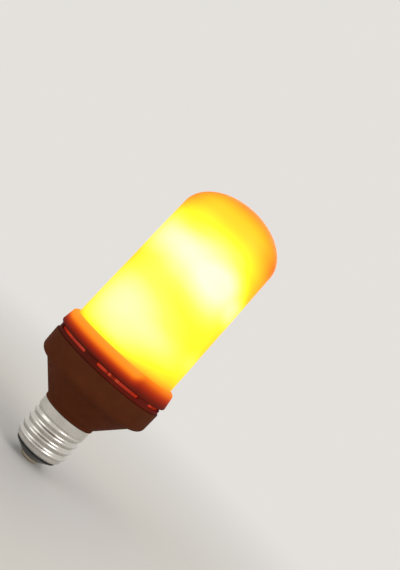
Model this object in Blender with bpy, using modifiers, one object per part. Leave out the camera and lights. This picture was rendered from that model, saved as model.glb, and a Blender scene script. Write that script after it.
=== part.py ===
"""A flame effect LED bulb with an Edison screw cap. It stands on its cap: the flat end of the centre
contact is at the origin, and the axis runs up +Z to the tip of the diffuser. Azimuths are degrees
round the axis from the front, which is -Y, towards +X. All sizes are in metres.
"""

import math

import bmesh
import bpy
from mathutils import Matrix, Vector

# Gap left between pieces that touch
FIT = 0.0003

# Screw cap
CONTACT_RADIUS = 0.0048
CONTACT_FLAT_RADIUS = 0.0030
CONTACT_HEIGHT = 0.0016
CONTACT_ROUND = 0.0011
STEM_RADIUS = 0.0011
STEM_LENGTH = 0.0085
INSULATOR_RADIUS = 0.0058
INSULATOR_HEIGHT = 0.0037
INSULATOR_RIM = 0.00055
INSULATOR_PLUG = 0.0030
SHELL_HEIGHT = 0.0203
SHELL_WALL = 0.0004
SHELL_LIP_RADIUS = 0.0108
SHELL_LIP_HEIGHT = 0.0016
SKIRT_HEIGHT = 0.0040
THREAD_RADIUS = 0.0132
THREAD_DEPTH = 0.00105
THREAD_PITCH = 0.00363

# Diffuser
DIFFUSER_RADIUS = 0.0275
DIFFUSER_WALL = 0.0012
DIFFUSER_HEIGHT = 0.0689
DIFFUSER_DRAFT = math.radians(0.76)
DOME_HEIGHT = 0.0176
FLANGE_WIDTH = 0.0007
FLANGE_THICKNESS = 0.0015

# Collar: the flared ring and the slotted band under it are one moulding
LIP_THICKNESS = 0.0022
RING_TOP_WIDTH = 0.0022
RING_TOP_ROUND = 0.0020
RING_HEIGHT = 0.0082
RING_OVERHANG = 0.00115
RING_FOOT_ROUND = 0.0011
BAND_WALL = 0.0011
BAND_HEIGHT = 0.0032
SLOTS = 6
SLOT_AZIMUTH = 12.4
SLOT_SPAN = 46.0
SLOT_HEIGHT = 0.00135
SLOT_DROP = 0.00015
SLOT_ROUND = 0.0006

# Housing
WALL = 0.0018
RIM_STEP = 0.00065
CUP_HEIGHT = 0.0114
CUP_TAPER = 0.0003
CORNER_RADIUS = 0.0035
SHOULDER_WIDTH = 0.00425
SHOULDER_ANGLE = math.radians(12.0)
CONE_ANGLE = math.radians(43.5)
NECK_LIP = 0.0003
NECK_HEIGHT = 0.0012
NECK_PLUG = 0.0085
NECK_PLUG_WALL = 0.0015
SPIGOT_WALL = 0.0012
SPIGOT_ROOT = 0.0030
TAB_SPAN = 9.0
RIBS = 3
RIB_AZIMUTH = 7.0
RIB_THICKNESS = 0.0016
BOSS_RADIUS = 0.0026
SHELF_DEPTH = 0.0030

# Lamp core, with its deck and the rolled LED sheet
LED_GAP = 0.0062
CORE_WALL = 0.0013
CORE_HEIGHT = 0.0665
DECK_THICKNESS = 0.0016
DECK_ARM_SPAN = 16.0
DECK_MARGIN = 0.0005
BAFFLE_GAP = 0.0011
BAFFLE_WALL = 0.0009
BAFFLE_DROP = 0.0017
CAP_THICKNESS = 0.0015
CAP_PLUG = 0.0030
SHEET_THICKNESS = 0.0005
SHEET_SLIT = 4.0
LED_COLUMNS = 12
LED_ROWS = 8
LED_MARGIN = 0.0045
LED_WIDTH = 0.0028
LED_LENGTH = 0.0035
LED_PROUD = 0.00075

# Screws that hold the deck on the housing's bosses
SCREW_RADIUS = 0.0011
SCREW_LENGTH = 0.0080
SCREW_HEAD_RADIUS = 0.0022
SCREW_HEAD_HEIGHT = 0.0015
SCREW_HEAD_FLAT = 0.0013
CROSS_WIDTH = 0.0005
CROSS_LENGTH = 0.0024
CROSS_DEPTH = 0.0008

# Driver board, and what stands on it
BOARD_THICKNESS = 0.0012
BOARD_DROP = 0.0098
BOARD_MARGIN = 0.0009
CAPACITOR_RADIUS = 0.0040
CAPACITOR_HEIGHT = 0.0125
CAN_ROUND = 0.0006
CRIMP_HEIGHT = 0.0015
CRIMP_DEPTH = 0.0004
CHOKE_RADIUS = 0.0042
CHOKE_HEIGHT = 0.0090
CHOKE_FLANGE = 0.0013
CHOKE_WAIST = 0.0006
LINE_CAPACITOR_SIZE = (0.0095, 0.0045, 0.0080)
LINE_CAPACITOR_ROUND = 0.0007
RECTIFIER_SIZE = (0.0047, 0.0038, 0.0024)
CONTROLLER_SIZE = (0.0099, 0.0039, 0.0015)
REGULATOR_SIZE = (0.0049, 0.0039, 0.0015)
RECTIFIER_PIN_COUNT = 2
CONTROLLER_PIN_COUNT = 7
REGULATOR_PIN_COUNT = 3
PIN_LENGTH = 0.0009
PIN_WIDTH = 0.0004
PIN_THICKNESS = 0.00025
PIN_PITCH = 0.00127
FUSE_RADIUS = 0.0017
FUSE_LENGTH = 0.0085
FUSE_CAP = 0.0017
FUSE_WAIST = 0.00025
FUSE_DISTANCE = 0.0035
FUSE_AZIMUTH = 90.0

# Places on the board: a share of its radius, and an azimuth
CAPACITOR_PLACE = (0.45, 60.0)
CHOKE_PLACE = (0.50, 180.0)
LINE_CAPACITOR_PLACE = (0.60, 295.0)
RECTIFIER_PLACE = (0.75, 240.0)
CONTROLLER_PLACE = (0.68, 120.0)
REGULATOR_PLACE = (0.72, 0.0)

# Wires
WIRE_RADIUS = 0.0006
WIRE_STRAIGHT = 0.0030
NEUTRAL_TAIL = 0.0045
NEUTRAL_AZIMUTH = 250.0
LEADS = 3
LEAD_PITCH = 0.0024
LEAD_OVERLAP = 0.0028

# Facets
ROUND_SIDES = 36
CAP_SIDES = 24
SMALL_SIDES = 16
HOLE_SIDES = 12
SCREW_SIDES = 10
LIP_ROWS = 2
THREAD_ROWS_PER_TURN = 6
SECTOR_FACET = 15.5
ROUTE_STEPS = 2

# Radii, from the diffuser outwards
lip_radius = DIFFUSER_RADIUS + FIT
flange_radius = DIFFUSER_RADIUS + FLANGE_WIDTH
bore_radius = flange_radius + FIT
band_radius = bore_radius + BAND_WALL
ring_top_radius = lip_radius + RING_TOP_WIDTH
ring_radius = band_radius + RING_OVERHANG
housing_radius = band_radius + RIM_STEP
spigot_radius = bore_radius - FIT
spigot_inner_radius = spigot_radius - SPIGOT_WALL
foot_radius = housing_radius - CUP_TAPER
shoulder_radius = foot_radius - SHOULDER_WIDTH
neck_radius = THREAD_RADIUS + NECK_LIP

# Radii, from the diffuser inwards
chamber_radius = DIFFUSER_RADIUS - DIFFUSER_WALL
led_radius = chamber_radius - LED_GAP
sheet_radius = led_radius - LED_PROUD
core_radius = sheet_radius - SHEET_THICKNESS - FIT
core_bore_radius = core_radius - CORE_WALL
screw_circle = (led_radius + chamber_radius) / 2
board_radius = screw_circle - BOSS_RADIUS - BOARD_MARGIN
lead_circle = sheet_radius + FIT + WIRE_RADIUS
baffle_radius = spigot_inner_radius - BAFFLE_GAP
baffle_inner_radius = baffle_radius - BAFFLE_WALL

# Radii inside the screw shell
skirt_bore_radius = THREAD_RADIUS - SHELL_WALL
root_radius = THREAD_RADIUS - THREAD_DEPTH
root_bore_radius = root_radius - SHELL_WALL
neck_bore_radius = root_bore_radius - FIT - NECK_PLUG_WALL

# Heights, from the contact up to the collar's top
insulator_base = CONTACT_HEIGHT + FIT
shell_base = insulator_base + INSULATOR_HEIGHT + FIT
shell_top = shell_base + SHELL_HEIGHT
seat_height = shell_top + FIT
neck_top = seat_height + NECK_HEIGHT
break_height = neck_top + (shoulder_radius - neck_radius) / math.tan(CONE_ANGLE)
rim_height = break_height + CUP_HEIGHT
band_base = rim_height + FIT
ring_base = band_base + BAND_HEIGHT
collar_top = ring_base + RING_HEIGHT
slot_top = ring_base - SLOT_DROP
slot_base = slot_top - SLOT_HEIGHT

# Heights, from the collar's lip down to the driver board
lip_base = collar_top - LIP_THICKNESS
flange_top = lip_base - FIT
flange_base = flange_top - FLANGE_THICKNESS
deck_top = flange_base - FIT
deck_base = deck_top - DECK_THICKNESS
boss_top = deck_base - FIT
baffle_base = slot_base - BAFFLE_DROP
board_top = rim_height - BOARD_DROP
board_base = board_top - BOARD_THICKNESS
shelf_top = board_base - FIT
parts_base = board_top + FIT

# Heights of the lamp core and the diffuser
core_top = deck_top + CORE_HEIGHT
sheet_base = deck_top + FIT
dome_base = collar_top + DIFFUSER_HEIGHT


def start_afresh():
    """Removes every object, and makes one collection for the bulb and one for its cutters."""
    for old in list(bpy.data.objects):
        bpy.data.objects.remove(old)
    collections = []
    for name in ("flame_effect_led_bulb", "cutters"):
        collection = bpy.data.collections.get(name) or bpy.data.collections.new(name)
        if name not in bpy.context.scene.collection.children:
            bpy.context.scene.collection.children.link(collection)
        collections.append(collection)
    return collections


bulb, cutters = start_afresh()


def polar(radius, azimuth, height=0.0):
    """A place at a radius from the axis, at degrees round it from the front."""
    angle = math.radians(azimuth)
    return Vector((radius * math.sin(angle), -radius * math.cos(angle), height))


def arc(centre, radii, start, end, steps):
    """Points (radius, height) on an arc or a quarter ellipse, at degrees from the outward direction."""
    points = []
    for step in range(steps + 1):
        angle = math.radians(start + (end - start) * step / steps)
        points.append((centre[0] + radii[0] * math.cos(angle), centre[1] + radii[1] * math.sin(angle)))
    return points


def inset_line(points, distance):
    """An open outline moved by a distance to its right, with mitred corners. Its ends move sideways."""
    normals = []
    for (r0, z0), (r1, z1) in zip(points, points[1:]):
        length = math.hypot(r1 - r0, z1 - z0)
        normals.append(Vector(((z1 - z0) / length, -(r1 - r0) / length)))
    moved = []
    for index, (r, z) in enumerate(points):
        before = normals[max(index - 1, 0)]
        after = normals[min(index, len(normals) - 1)]
        mitre = (before + after) / (1 + before.dot(after))
        moved.append((r + distance * mitre.x, z + distance * mitre.y))
    return moved


def material(name, colour, roughness, metallic=0.0, glow=0.0):
    """A Principled material. A glow lights it in its own colour."""
    made = bpy.data.materials.new(name)
    made.use_nodes = True
    made.diffuse_color = (*colour, 1.0)
    surface = made.node_tree.nodes["Principled BSDF"]
    surface.inputs["Base Color"].default_value = (*colour, 1.0)
    surface.inputs["Roughness"].default_value = roughness
    surface.inputs["Metallic"].default_value = metallic
    surface.inputs["Emission Color"].default_value = (*colour, 1.0)
    surface.inputs["Emission Strength"].default_value = glow
    return made


def object_of(name, mesh, collection=bulb):
    """A new object in a collection."""
    made = bpy.data.objects.new(name, mesh)
    collection.objects.link(made)
    return made


def object_from(name, bm):
    """A new object that takes over a bmesh, with its faces turned outwards."""
    bmesh.ops.recalc_face_normals(bm, faces=bm.faces)
    mesh = bpy.data.meshes.new(name)
    bm.to_mesh(mesh)
    bm.free()
    return object_of(name, mesh)


def turned(name, outline, sides, closed=True, sweep=360.0, start=90.0):
    """A turned shape. Its outline runs down the outer side, and starts and ends on the axis if open."""
    mesh = bpy.data.meshes.new(name)
    edges = [(index, index + 1) for index in range(len(outline) - 1)]
    if closed:
        edges.append((len(outline) - 1, 0))
    mesh.from_pydata([(radius, 0.0, height) for radius, height in outline], edges, [])
    made = object_of(name, mesh)
    made.rotation_euler.z = math.radians(start - 90.0)
    turn = made.modifiers.new("Turn", "SCREW")
    turn.angle = math.radians(sweep)
    turn.steps = turn.render_steps = sides
    turn.use_merge_vertices = True
    turn.merge_threshold = 1e-6
    return made


def round_bar(name, radius, base, top, place=(0.0, 0.0), sides=SMALL_SIDES):
    """An upright cylinder."""
    bm = bmesh.new()
    at = Matrix.Translation((place[0], place[1], (base + top) / 2))
    bmesh.ops.create_cone(
        bm, cap_ends=True, segments=sides, radius1=radius, radius2=radius, depth=top - base, matrix=at
    )
    return object_from(name, bm)


def boxes(name, sizes_and_places):
    """One object of separate boxes, each from its size and the matrix that places it."""
    bm = bmesh.new()
    for size, placed in sizes_and_places:
        bmesh.ops.create_cube(bm, size=1.0, matrix=placed @ Matrix.Diagonal((*size, 1.0)))
    return object_from(name, bm)


def facing(azimuth, place):
    """A matrix at a place, turned so that its X runs round the axis and its -Y faces outwards."""
    return Matrix.Translation(place) @ Matrix.Rotation(math.radians(azimuth), 4, "Z")


def plate(name, outline, thickness, azimuth):
    """An upright plate across the front of an azimuth, from its outline of radii and heights."""
    bm = bmesh.new()
    side = polar(thickness / 2, azimuth + 90.0)
    face = bm.faces.new([bm.verts.new(polar(radius, azimuth, height) - side) for radius, height in outline])
    grown = bmesh.ops.extrude_face_region(bm, geom=[face])
    moved = [item for item in grown["geom"] if isinstance(item, bmesh.types.BMVert)]
    bmesh.ops.translate(bm, verts=moved, vec=side * 2)
    return object_from(name, bm)


def sector(name, inner, outer, base, top, azimuth, span, end_round=0.0):
    """A block swept round the axis, centred on an azimuth. Its ends can be rounded up its height."""
    bm = bmesh.new()
    start = azimuth - span / 2
    corners = [(inner, base), (outer, base), (outer, top), (inner, top)]
    face = bm.faces.new([bm.verts.new(polar(radius, start, height)) for radius, height in corners])
    steps = max(2, round(span / SECTOR_FACET))
    swept = {"geom": [face, *face.edges, *face.verts], "axis": (0, 0, 1), "cent": (0, 0, 0)}
    bmesh.ops.spin(bm, angle=math.radians(span), steps=steps, use_duplicate=False, **swept)
    if end_round:
        ends = []
        for edge in bm.edges:
            first, last = (vert.co for vert in edge.verts)
            radial = abs(first.z - last.z) < 1e-7 and abs(first.xy.length - last.xy.length) > 1e-5
            turn = math.degrees(math.atan2(first.x, -first.y)) - azimuth
            turn = abs((turn + 180.0) % 360.0 - 180.0)
            if radial and turn > span / 2 - 0.01:
                ends.append(edge)
        bmesh.ops.bevel(bm, geom=ends, offset=end_round, segments=2, profile=0.5, affect="EDGES")
    return object_from(name, bm)


def combine(piece, tool, operation):
    """Cuts a piece with a tool, or joins the tool to it, and puts the tool with the cutters."""
    change = piece.modifiers.new(tool.name, "BOOLEAN")
    change.object = tool
    change.operation = operation
    change.solver = "EXACT"
    bulb.objects.unlink(tool)
    cutters.objects.link(tool)
    tool.hide_render = True
    tool.display_type = "WIRE"


def settle(piece):
    """Gives a piece its evaluated mesh in place of its modifiers."""
    bpy.context.view_layer.update()
    evaluated = piece.evaluated_get(bpy.context.evaluated_depsgraph_get())
    mesh = bpy.data.meshes.new_from_object(evaluated)
    piece.modifiers.clear()
    piece.data = mesh


def finish(piece, look):
    """Settles a piece, shades it smooth between its sharp edges and gives it its material."""
    settle(piece)
    piece.data.shade_smooth()
    piece.data.set_sharp_from_angle(angle=math.radians(32.0))
    piece.data.materials.clear()
    piece.data.materials.append(look)
    return piece


def smooth_route(points):
    """Points along a smooth curve through a wire's own points."""
    ends = [points[0] * 2 - points[1], *points, points[-1] * 2 - points[-2]]
    route = []
    for before, here, there, after in zip(ends, ends[1:], ends[2:], ends[3:]):
        for step in range(ROUTE_STEPS):
            t = step / ROUTE_STEPS
            curve = here * 2 + (there - before) * t
            curve += (before * 2 - here * 5 + there * 4 - after) * t**2
            curve += (here * 3 - before - there * 3 + after) * t**3
            route.append(curve / 2)
    return route + [points[-1]]


def wire(name, points, look):
    """A round wire along a smooth route."""
    curve = bpy.data.curves.new(name, "CURVE")
    curve.dimensions = "3D"
    curve.bevel_depth = WIRE_RADIUS
    curve.bevel_resolution = 2
    curve.use_fill_caps = True
    route = smooth_route(points)
    spline = curve.splines.new("POLY")
    spline.points.add(len(route) - 1)
    for point, place in zip(spline.points, route):
        point.co = (*place, 1.0)
    made = object_of(name, curve)
    curve.materials.append(look)
    return made


def make_contact():
    """The centre contact: a flat-ended button with a stem through the insulator."""
    rounding = CONTACT_RADIUS - CONTACT_FLAT_RADIUS
    edge = arc((CONTACT_FLAT_RADIUS, CONTACT_ROUND), (rounding, CONTACT_ROUND), 0, -90, 3)
    stem_top = CONTACT_HEIGHT + STEM_LENGTH
    outline = [(0.0, stem_top), (STEM_RADIUS, stem_top), (STEM_RADIUS, CONTACT_HEIGHT)]
    outline += [(CONTACT_RADIUS, CONTACT_HEIGHT), *edge, (0.0, 0.0)]
    finish(turned("centre_contact", outline, SMALL_SIDES, closed=False), tinned_brass)


def make_insulator():
    """The black insulator: a cone under the screw shell, with a plug inside the shell's lip."""
    hole = STEM_RADIUS + FIT
    plug_radius = SHELL_LIP_RADIUS - SHELL_WALL - FIT
    cone_top = insulator_base + INSULATOR_HEIGHT
    plug_top = cone_top + INSULATOR_PLUG
    outline = [(hole, plug_top), (plug_radius, plug_top), (plug_radius, cone_top)]
    outline += [(SHELL_LIP_RADIUS, cone_top), (SHELL_LIP_RADIUS, cone_top - INSULATOR_RIM)]
    outline += [(INSULATOR_RADIUS, insulator_base), (hole, insulator_base)]
    finish(turned("cap_insulator", outline, CAP_SIDES), black_glass)


def thread_rows():
    """Heights of the shell's rows above its lower edge: lip, thread and skirt."""
    thread_height = SHELL_HEIGHT - SHELL_LIP_HEIGHT - SKIRT_HEIGHT
    count = round(thread_height / THREAD_PITCH * THREAD_ROWS_PER_TURN)
    lip = [SHELL_LIP_HEIGHT * row / LIP_ROWS for row in range(LIP_ROWS)]
    thread = [SHELL_LIP_HEIGHT + thread_height * row / count for row in range(count + 1)]
    return [*lip, *thread, SHELL_HEIGHT]


def shell_radius(height, turn):
    """Outer radius of the screw shell at a height above its lower edge and a share of a turn.

    The thread is a rolled wave that climbs one pitch a turn. It grows out of the lip, and its
    grooves fill up into the plain skirt over the last half pitch.
    """
    if height < SHELL_LIP_HEIGHT:
        share = math.sin(height / SHELL_LIP_HEIGHT * math.pi / 2)
        return SHELL_LIP_RADIUS + (root_radius - SHELL_LIP_RADIUS) * share
    climb = height - SHELL_LIP_HEIGHT
    wave = 0.5 - 0.5 * math.cos(2 * math.pi * (climb / THREAD_PITCH - turn))
    run_in = min(1.0, climb / (THREAD_PITCH / 2))
    left = SHELL_HEIGHT - SKIRT_HEIGHT - height
    run_out = min(1.0, max(0.0, left / (THREAD_PITCH / 2)))
    return root_radius + THREAD_DEPTH * (1.0 - (1.0 - wave * run_in) * run_out)


def make_shell():
    """The screw shell: thin metal, rolled into an Edison thread."""
    rows = thread_rows()
    bm = bmesh.new()
    bmesh.ops.create_grid(bm, x_segments=CAP_SIDES, y_segments=len(rows) - 1, size=0.5)
    for vert in bm.verts:
        turn = vert.co.x + 0.5
        height = rows[round((vert.co.y + 0.5) * (len(rows) - 1))]
        vert.co = polar(shell_radius(height, turn), turn * 360.0, shell_base + height)
    bmesh.ops.remove_doubles(bm, verts=bm.verts, dist=1e-6)
    mesh = bpy.data.meshes.new("screw_shell")
    bm.to_mesh(mesh)
    bm.free()
    shell = object_of("screw_shell", mesh)
    wall = shell.modifiers.new("Wall", "SOLIDIFY")
    wall.thickness = SHELL_WALL
    wall.offset = -1.0
    finish(shell, nickel)


def cup_line():
    """Outer outline of the housing's cup: wall, rounded corner, shallow shoulder and cone."""
    corner_end = 90.0 - math.degrees(SHOULDER_ANGLE)
    corner_foot = foot_radius - CORNER_RADIUS + CORNER_RADIUS * math.sin(SHOULDER_ANGLE)
    shoulder_rise = (corner_foot - shoulder_radius) * math.tan(SHOULDER_ANGLE)
    corner_height = break_height + shoulder_rise + CORNER_RADIUS * math.cos(SHOULDER_ANGLE)
    centre = (foot_radius - CORNER_RADIUS, corner_height)
    corner = arc(centre, (CORNER_RADIUS, CORNER_RADIUS), 0.0, -corner_end, 3)
    return [(housing_radius, rim_height), *corner, (shoulder_radius, break_height), (neck_radius, neck_top)]


def make_housing():
    """The housing: a cup with a conical base and a neck, and bosses and ribs inside."""
    outer = cup_line()
    inner = inset_line(outer, WALL)
    slope = (inner[-2][0] - inner[-1][0]) / (inner[-2][1] - inner[-1][1])
    bore_top = inner[-1][1] + (neck_bore_radius - inner[-1][0]) / slope
    plug_base = seat_height - NECK_PLUG
    upper_plug = skirt_bore_radius - FIT
    lower_plug = root_bore_radius - FIT
    skirt_base = shell_top - SKIRT_HEIGHT + FIT
    neck = [(neck_radius, seat_height), (upper_plug, seat_height), (upper_plug, skirt_base)]
    neck += [(lower_plug, skirt_base), (lower_plug, plug_base), (neck_bore_radius, plug_base)]
    neck += [(neck_bore_radius, bore_top)]
    wall_top = rim_height - SPIGOT_ROOT
    rim = [(inner[0][0], wall_top), (spigot_inner_radius, wall_top + (inner[0][0] - spigot_inner_radius))]
    rim += [(spigot_inner_radius, boss_top), (spigot_radius, boss_top), (spigot_radius, rim_height)]
    housing = turned("housing", outer + neck + inner[-2:0:-1] + rim, ROUND_SIDES)
    for index in range(SLOTS):
        azimuth = SLOT_AZIMUTH + index * 360.0 / SLOTS
        reach = (spigot_inner_radius - WALL, bore_radius + WALL)
        span = 360.0 / SLOTS - TAB_SPAN
        window = sector(f"cut_window_{index + 1}", *reach, slot_base - FIT, boss_top + WALL, azimuth, span)
        combine(housing, window, "DIFFERENCE")
    settle(housing)
    within = inset_line(outer[:-1], WALL / 2)
    below = (inner[-1][0], inner[-1][1])
    top = boss_top + WALL
    reach = spigot_radius - FIT
    envelope = [(0.0, top), (reach, top), (reach, rim_height - FIT), (within[0][0], wall_top)]
    envelope += [*within[1:], below, (0.0, below[1])]
    for index in range(RIBS):
        azimuth = RIB_AZIMUTH + index * 360.0 / RIBS
        combine(housing, make_rib(index, azimuth, envelope), "UNION")
    settle(housing)
    for index in range(RIBS):
        place = polar(screw_circle, RIB_AZIMUTH + index * 360.0 / RIBS)
        depth = SCREW_LENGTH + FIT
        low, high = deck_top - depth, boss_top + WALL
        hole = round_bar(f"cut_boss_{index + 1}", SCREW_RADIUS + FIT, low, high, place)
        combine(housing, hole, "DIFFERENCE")
    finish(housing, brown_plastic)


def make_rib(index, azimuth, envelope):
    """A boss and the rib that ties it to the wall, with a shelf under the driver board."""
    shelf_edge = board_radius - SHELF_DEPTH
    outline = [(shelf_edge, neck_top), (housing_radius, neck_top), (housing_radius, boss_top)]
    outline += [(screw_circle, boss_top), (screw_circle, shelf_top), (shelf_edge, shelf_top)]
    rib = plate(f"rib_{index + 1}", outline, RIB_THICKNESS, azimuth)
    place = polar(screw_circle, azimuth)
    boss = round_bar(f"boss_{index + 1}", BOSS_RADIUS, neck_top, boss_top, place, SMALL_SIDES)
    combine(rib, boss, "UNION")
    combine(rib, turned(f"limit_{index + 1}", envelope, ROUND_SIDES, closed=False), "INTERSECT")
    settle(rib)
    return rib


def make_collar():
    """The collar: a flared ring with a lip over the diffuser's flange, and a slotted band below."""
    shoulder_centre = (ring_top_radius - RING_TOP_ROUND, collar_top - RING_TOP_ROUND)
    shoulder = arc(shoulder_centre, (RING_TOP_ROUND, RING_TOP_ROUND), 90, 0, 4)
    foot_centre = (ring_radius - RING_FOOT_ROUND, ring_base + RING_FOOT_ROUND)
    foot = arc(foot_centre, (RING_FOOT_ROUND, RING_FOOT_ROUND), 0, -80, 3)
    outline = [(lip_radius, collar_top), *shoulder, *foot, (band_radius, ring_base)]
    outline += [(band_radius, band_base), (bore_radius, band_base), (bore_radius, lip_base)]
    outline.append((lip_radius, lip_base))
    collar = turned("collar_ring", outline, ROUND_SIDES)
    for index in range(SLOTS):
        azimuth = SLOT_AZIMUTH + index * 360.0 / SLOTS
        reach = (bore_radius - WALL, ring_radius + WALL)
        slot = sector(f"cut_slot_{index + 1}", *reach, slot_base, slot_top, azimuth, SLOT_SPAN, SLOT_ROUND)
        combine(collar, slot, "DIFFERENCE")
    finish(collar, brown_plastic)


def make_diffuser():
    """The milky diffuser: a slightly tapered tube with an elliptical dome and a flange at its foot."""
    taper = math.tan(DIFFUSER_DRAFT)
    top_radius = DIFFUSER_RADIUS - taper * (dome_base - flange_top)
    foot_inner = chamber_radius + taper * (flange_top - flange_base)
    outer = arc((0.0, dome_base), (top_radius, DOME_HEIGHT), 90, 0, 8)
    inner_radii = (top_radius - DIFFUSER_WALL, DOME_HEIGHT - DIFFUSER_WALL)
    inner = arc((0.0, dome_base), inner_radii, 0, 90, 5)
    outer[0] = (0.0, dome_base + DOME_HEIGHT)
    inner[-1] = (0.0, dome_base + DOME_HEIGHT - DIFFUSER_WALL)
    flange = [(DIFFUSER_RADIUS, flange_top), (flange_radius, flange_top), (flange_radius, flange_base)]
    outline = outer + flange + [(foot_inner, flange_base)] + inner
    finish(turned("diffuser", outline, ROUND_SIDES, closed=False), milky_plastic)


def make_core():
    """The lamp core: a tube on a windowed deck, with a light baffle inside the vent slots."""
    outline = [(core_bore_radius, core_top), (core_radius, core_top), (core_radius, deck_top)]
    outline += [(flange_radius, deck_top), (flange_radius, deck_base), (baffle_radius, deck_base)]
    outline += [(baffle_radius, baffle_base), (baffle_inner_radius, baffle_base)]
    outline += [(baffle_inner_radius, deck_base), (core_bore_radius, deck_base)]
    core = turned("led_core", outline, ROUND_SIDES)
    for index in range(RIBS):
        azimuth = RIB_AZIMUTH + index * 360.0 / RIBS
        reach = (baffle_inner_radius - DECK_MARGIN, baffle_radius + FIT, baffle_base - FIT, deck_base)
        span = 2 * math.degrees(math.asin((BOSS_RADIUS + FIT) / baffle_inner_radius))
        combine(core, sector(f"cut_baffle_{index + 1}", *reach, azimuth, span), "DIFFERENCE")
    window_inner = lead_circle + WIRE_RADIUS + FIT + DECK_MARGIN
    window_outer = baffle_inner_radius - DECK_MARGIN
    for index in range(2 * RIBS):
        azimuth = RIB_AZIMUTH + (index + 0.5) * 180.0 / RIBS
        span = 180.0 / RIBS - DECK_ARM_SPAN
        reach = (window_inner, window_outer, deck_base - WALL, deck_top + WALL)
        combine(core, sector(f"cut_deck_window_{index + 1}", *reach, azimuth, span), "DIFFERENCE")
    for index in range(RIBS):
        place = polar(screw_circle, RIB_AZIMUTH + index * 360.0 / RIBS)
        low, high = deck_base - WALL, deck_top + WALL
        hole = round_bar(f"cut_deck_screw_{index + 1}", SCREW_RADIUS + FIT, low, high, place, HOLE_SIDES)
        combine(core, hole, "DIFFERENCE")
    for index in range(LEADS):
        place = polar(lead_circle, lead_azimuth(index))
        reach = (WIRE_RADIUS + FIT, deck_base - WALL, sheet_base)
        hole = round_bar(f"cut_lead_{index + 1}", *reach, place, HOLE_SIDES)
        combine(core, hole, "DIFFERENCE")
    finish(core, white_plastic)


def make_core_cap():
    """The cap pushed into the core's top. Its brim keeps the LED sheet down."""
    base = core_top + FIT
    plug = core_bore_radius - FIT
    round_off = CAP_THICKNESS / 2
    brim = arc((led_radius - round_off, base + CAP_THICKNESS - round_off), (round_off, round_off), 90, 0, 2)
    outline = [(0.0, base + CAP_THICKNESS), *brim, (led_radius, base), (plug, base), (plug, base - CAP_PLUG)]
    outline += [(plug - CORE_WALL, base - CAP_PLUG), (plug - CORE_WALL, base), (0.0, base)]
    finish(turned("core_cap", outline, CAP_SIDES, closed=False), white_plastic)


def make_sheet():
    """The LED sheet: a thin board rolled round the core, with its rows of LED chips."""
    sweep = 360.0 - SHEET_SLIT
    start = RIB_AZIMUTH + SHEET_SLIT / 2
    line = [(sheet_radius, core_top), (sheet_radius, sheet_base)]
    sheet = turned("led_sheet", line, 3 * LED_COLUMNS, closed=False, sweep=sweep, start=start)
    board = sheet.modifiers.new("Board", "SOLIDIFY")
    board.thickness = SHEET_THICKNESS
    board.offset = -1.0
    row_pitch = (core_top - sheet_base - 2 * LED_MARGIN) / (LED_ROWS - 1)
    facet = math.cos(math.radians(sweep / (3 * LED_COLUMNS) / 2))
    size = (LED_WIDTH, LED_PROUD + SHEET_THICKNESS / 2, LED_LENGTH)
    reach = sheet_radius * facet + LED_PROUD - size[1] / 2
    chips = []
    for column in range(LED_COLUMNS):
        azimuth = start + sweep * (column + 0.5) / LED_COLUMNS
        for row in range(LED_ROWS):
            place = polar(reach, azimuth, sheet_base + LED_MARGIN + row * row_pitch)
            chips.append((size, facing(azimuth, place)))
    combine(sheet, boxes("led_chips", chips), "UNION")
    finish(sheet, led_board)


def make_screw(index):
    """A pan-head screw through the deck into a boss."""
    head_base = deck_top + FIT
    head_top = head_base + SCREW_HEAD_HEIGHT
    dome = (SCREW_HEAD_RADIUS - SCREW_HEAD_FLAT, SCREW_HEAD_HEIGHT)
    edge = arc((SCREW_HEAD_FLAT, head_base), dome, 90, 0, 2)
    tip = head_base - SCREW_LENGTH
    outline = [(0.0, head_top), *edge, (SCREW_RADIUS, head_base), (SCREW_RADIUS, tip + SCREW_RADIUS)]
    outline += [(0.0, tip)]
    screw = turned(f"core_screw_{index + 1}", outline, SCREW_SIDES, closed=False)
    azimuth = RIB_AZIMUTH + index * 360.0 / RIBS
    screw.location = polar(screw_circle, azimuth)
    middle = polar(screw_circle, azimuth, head_top)
    arms = [(CROSS_LENGTH, CROSS_WIDTH, 2 * CROSS_DEPTH), (CROSS_WIDTH, CROSS_LENGTH, 2 * CROSS_DEPTH)]
    for name, arm in zip(("long", "wide"), arms):
        slot = boxes(f"cut_cross_{name}_{index + 1}", [(arm, facing(azimuth, middle))])
        combine(screw, slot, "DIFFERENCE")
    finish(screw, steel)


def make_board():
    """The round driver board, on the ribs' shelves."""
    finish(round_bar("driver_board", board_radius, board_base, board_top, sides=ROUND_SIDES), green_board)


def on_board(place):
    """A place on the axis's cross-section, from a share of the board's radius and an azimuth."""
    share, azimuth = place
    return polar(board_radius * share, azimuth)


def make_filter_capacitor():
    """The electrolytic capacitor: a can with a crimped foot and a rounded top."""
    groove = parts_base + CRIMP_HEIGHT
    top = parts_base + CAPACITOR_HEIGHT
    shoulder = arc((CAPACITOR_RADIUS - CAN_ROUND, top - CAN_ROUND), (CAN_ROUND, CAN_ROUND), 90, 0, 2)
    outline = [(0.0, top), *shoulder, (CAPACITOR_RADIUS, groove + CRIMP_DEPTH)]
    outline += [(CAPACITOR_RADIUS - CRIMP_DEPTH, groove), (CAPACITOR_RADIUS, groove - CRIMP_DEPTH)]
    outline += [(CAPACITOR_RADIUS, parts_base), (0.0, parts_base)]
    can = turned("filter_capacitor", outline, SMALL_SIDES, closed=False)
    can.location = on_board(CAPACITOR_PLACE)
    finish(can, black_sleeve)


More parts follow.
